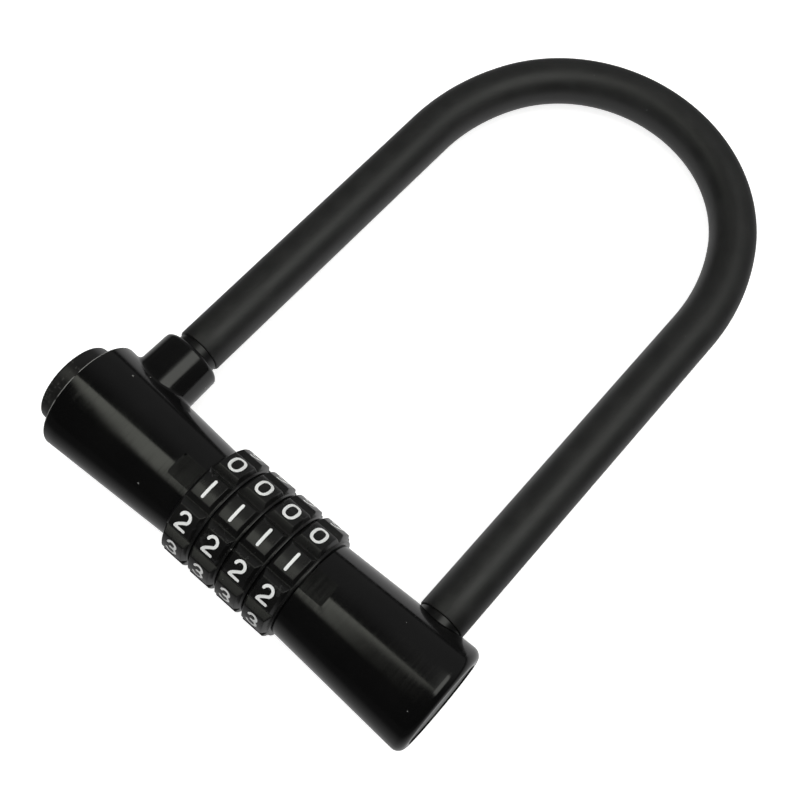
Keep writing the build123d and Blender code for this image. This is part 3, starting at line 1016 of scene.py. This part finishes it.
def numeralMesh(name, halfWidth, low, high):
    build = bmesh.new()
    for digit in range(dial["lands"]):
        addNumeral(build, digit, halfWidth, low, high)
    bmesh.ops.remove_doubles(build, verts=build.verts, dist=numeral["weld"])
    bmesh.ops.recalc_face_normals(build, faces=build.faces)
    mesh = bpy.data.meshes.new(name)
    build.to_mesh(mesh)
    build.free()
    return mesh


landTop = dial["landRadius"]
cutterMesh = numeralMesh(
    "numeralCutter",
    numeral["stroke"] / 2 + numeral["margin"],
    landTop - numeral["recess"],
    landTop + numeral["recess"],
)
inlayMesh = numeralMesh(
    "numeralInlay",
    numeral["stroke"] / 2,
    landTop - numeral["recess"] + numeral["inlayFoot"],
    landTop - numeral["inlayDrop"],
)


# the drum with the numerals' recesses cut into it
def cutMesh(base, cutter):
    holder = bpy.data.objects.new("cutHolder", base)
    tool = bpy.data.objects.new("cutTool", cutter)
    for item in (holder, tool):
        bpy.context.scene.collection.objects.link(item)
    modifier = holder.modifiers.new("cut", "BOOLEAN")
    modifier.operation = "DIFFERENCE"
    modifier.solver = "EXACT"
    modifier.object = tool
    depsgraph = bpy.context.evaluated_depsgraph_get()
    mesh = bpy.data.meshes.new_from_object(holder.evaluated_get(depsgraph))
    bpy.data.objects.remove(holder)
    bpy.data.objects.remove(tool)
    return mesh


cutDrum = cutMesh(drumMesh, cutterMesh)


# a copy turned to the index and moved to its dial's place
def finishMesh(mesh, name, start, sharpAngle):
    copy = mesh.copy()
    copy.name = name
    tilt = Matrix.Rotation(math.radians(dial["indexTilt"]), 4, "X")
    place = Matrix.Translation((start, barCentre.y, barCentre.z))
    copy.transform(place @ tilt)
    build = bmesh.new()
    build.from_mesh(copy)
    smoothFaces(build, sharpAngle)
    build.to_mesh(copy)
    build.free()
    return copy


for n, start in enumerate(dialStarts, 1):
    body = f"dial_{n}"
    drum = finishMesh(cutDrum, f"dialDrum{n}", start, sharpAngles["drum"])
    newPiece(f"dialDrum{n}", drum, body, finish["dialSatin"], (body,))
    inlay = finishMesh(inlayMesh, f"dialNumerals{n}", start, sharpAngles["inlay"])
    newPiece(f"dialNumerals{n}", inlay, body, finish["numeralWhite"])
print("dials and numerals placed:", dialCount)


# the floor, tilted so that it meets both the dials and the bow, as the real lock lies
floor = {
    "size": 3.0,
    "tilt": 3.13,
    "base": 0.82,
    "roughness": 0.9,
    "glow": 0.72,
    "clearance": 0.02,
    "bounceNear": 0.75,
    "bounceFar": 0.05,
    "nearReach": 0.04,
    "farReach": 0.2,
}


def buildFloor():
    build = bmesh.new()
    half = floor["size"] / 2
    tilt = math.radians(floor["tilt"])
    drop = (dial["landRadius"] + floor["clearance"]) * mm
    low = barCentre + Vector((0.0, math.sin(tilt), -math.cos(tilt))) * drop
    ahead = Vector((0.0, math.cos(tilt), math.sin(tilt)))
    corners = [
        build.verts.new(low + Vector((sx * half, 0.0, 0.0)) + ahead * sy * half)
        for sx, sy in ((-1, -1), (1, -1), (1, 1), (-1, 1))
    ]
    build.faces.new(corners)
    mesh = bpy.data.meshes.new("paleFloor")
    build.to_mesh(mesh)
    build.free()
    plane = bpy.data.objects.new("paleFloor", mesh)
    bpy.context.scene.collection.objects.link(plane)
    material = bpy.data.materials.new("floorPaper")
    material.use_nodes = True
    shader = material.node_tree.nodes["Principled BSDF"]
    shader.inputs["Base Color"].default_value = (floor["base"],) * 3 + (1.0,)
    shader.inputs["Roughness"].default_value = floor["roughness"]
    shader.inputs["Specular IOR Level"].default_value = 0.0
    shader.inputs["Emission Color"].default_value = (1.0, 1.0, 1.0, 1.0)
    shader.inputs["Emission Strength"].default_value = floor["glow"]
    # what the lock mirrors of the floor fades with distance, as under a small soft box
    tree = material.node_tree
    away = addNode(
        tree,
        "ShaderNodeVectorMath",
        {"operation": "LENGTH"},
        {0: addNode(tree, "ShaderNodeTexCoord").outputs["Object"]},
    )
    near, far = floor["nearReach"], floor["farReach"]
    bounce = remap(tree, away.outputs["Value"], near, far, floor["bounceNear"], floor["bounceFar"])
    glow = addNode(tree, "ShaderNodeEmission", None, {"Strength": bounce})
    seen = addNode(tree, "ShaderNodeLightPath").outputs["Is Camera Ray"]
    either = addNode(tree, "ShaderNodeMixShader", None, {0: seen, 1: glow.outputs[0], 2: shader.outputs[0]})
    tree.links.new(either.outputs[0], tree.nodes["Material Output"].inputs["Surface"])
    mesh.materials.append(material)


buildFloor()

# soft boxes above the lock, placed from the crossbar's centre in metres and facing down,
# but for one in front that faces the lock and only fills the shadows
softBoxes = (
    {
        "name": "keyBox",
        "place": (-0.475, -0.415, 1.0),
        "size": (0.95, 0.87),
        "radiance": 1.9,
        "tint": (0.975, 1.0, 0.89),
        # the near edge, left to right, as shares of the box's width and depth
        "edge": ((0.0, 0.8), (0.6, 0.74), (0.62, 0.68), (0.65, 0.4), (0.685, 0.17), (0.72, 0.1)),
        "corner": ((0.755, 0.32), (0.79, 0.62), (0.83, 0.86), (0.875, 0.87), (0.905, 0.97), (1.0, 1.0)),
        "fade": 0.24,
    },
    {
        "name": "sideBox",
        "place": (0.42, 0.325, 1.0),
        "size": (1.0, 0.85),
        "radiance": 1.8,
        "tint": (0.985, 1.0, 0.94),
        "feather": 0.22,
    },
    {"name": "fillBox", "place": (0.0, 0.1, 1.2), "size": (2.4, 2.4), "radiance": 0.75, "glossy": False},
    {
        "name": "frontFill",
        "place": (0.1, -1.1, 0.6),
        "size": (1.2, 0.8),
        "radiance": 1.5,
        "glossy": False,
        "aimed": True,
    },
)


# fades a box towards its sides, or towards its near edge, which isn't straight
def shapeBox(lamp, box):
    lamp.use_nodes = True
    tree = lamp.node_tree
    emission = tree.nodes["Emission"]
    spot = addNode(tree, "ShaderNodeNewGeometry").outputs["Parametric"]
    parts = addNode(tree, "ShaderNodeSeparateXYZ", None, {"Vector": spot})
    if "feather" in box:
        feather = box["feather"]
        left = remap(tree, parts.outputs["X"], 0.0, feather)
        right = remap(tree, parts.outputs["X"], 1.0, 1.0 - feather)
        tree.links.new(doMath(tree, "MULTIPLY", left, right), emission.inputs["Strength"])
        return
    outline = addNode(tree, "ShaderNodeFloatCurve", None, {"Value": parts.outputs["X"]})
    curve = outline.mapping.curves[0]
    knots = box["edge"] + box["corner"]
    curve.points[0].location = knots[0]
    curve.points[1].location = knots[-1]
    for knot in knots[1:-1]:
        curve.points.new(*knot)
    outline.mapping.update()
    inside = doMath(tree, "SUBTRACT", parts.outputs["Y"], outline.outputs[0])
    fade = box["fade"]
    tree.links.new(remap(tree, inside, -fade, fade), emission.inputs["Strength"])


for box in softBoxes:
    lamp = bpy.data.lights.new(box["name"], "AREA")
    lamp.shape = "RECTANGLE"
    lamp.size, lamp.size_y = box["size"]
    lamp.energy = box["radiance"] * math.pi * box["size"][0] * box["size"][1]
    lamp.color = box.get("tint", (1.0, 1.0, 1.0))
    if "edge" in box or "feather" in box:
        shapeBox(lamp, box)
    holder = bpy.data.objects.new(box["name"], lamp)
    holder.location = barCentre + Vector(box["place"])
    if box.get("aimed"):
        holder.rotation_euler = Vector(box["place"]).to_track_quat("Z", "Y").to_euler()
    holder.visible_glossy = box.get("glossy", True)
    bpy.context.scene.collection.objects.link(holder)


# the room: pale behind the floor, dim in reflections, a little lighter on the shackle's side
room = {"seen": 0.95, "dim": 0.025, "side": 0.2, "rise": (0.0, 0.8)}


def buildRoom():
    world = bpy.data.worlds.new("studioRoom")
    bpy.context.scene.world = world
    world.use_nodes = True
    tree = world.node_tree
    background = tree.nodes["Background"]
    toward = addNode(tree, "ShaderNodeTexCoord").outputs["Generated"]
    parts = addNode(tree, "ShaderNodeSeparateXYZ", None, {"Vector": toward})
    glow = remap(tree, parts.outputs["Y"], *room["rise"], room["dim"], room["side"])
    seen = addNode(tree, "ShaderNodeLightPath").outputs["Is Camera Ray"]
    mixed = addNode(tree, "ShaderNodeMix", {"data_type": "FLOAT"})
    tree.links.new(seen, mixed.inputs[0])
    tree.links.new(glow, mixed.inputs[2])
    mixed.inputs[3].default_value = room["seen"]
    tree.links.new(mixed.outputs[0], background.inputs["Color"])


buildRoom()

# camera above the right end, looking down on the lock
camera = {
    "place": (79.116, -63.037, 326.268),
    "right": (0.75539, 0.65263, 0.05877),
    "down": (0.61783, -0.67947, -0.39573),
    "forward": (-0.21833, 0.33525, -0.91648),
    "lens": 57.64,
    "sensor": 36.0,
    "nearest": 0.01,
    "farthest": 20.0,
}
lensData = bpy.data.cameras.new("studioCamera")
lensData.lens = camera["lens"]
lensData.sensor_width = camera["sensor"]
lensData.clip_start = camera["nearest"]
lensData.clip_end = camera["farthest"]
studioCamera = bpy.data.objects.new("studioCamera", lensData)
right, down, forward = (Vector(camera[key]) for key in ("right", "down", "forward"))
stance = Matrix((right, -down, -forward)).transposed().to_4x4()
studioCamera.matrix_world = Matrix.Translation(barCentre + Vector(camera["place"]) * mm) @ stance
bpy.context.scene.collection.objects.link(studioCamera)
bpy.context.scene.camera = studioCamera
bpy.context.scene.view_settings.view_transform = "Standard"
print("camera and lights set")
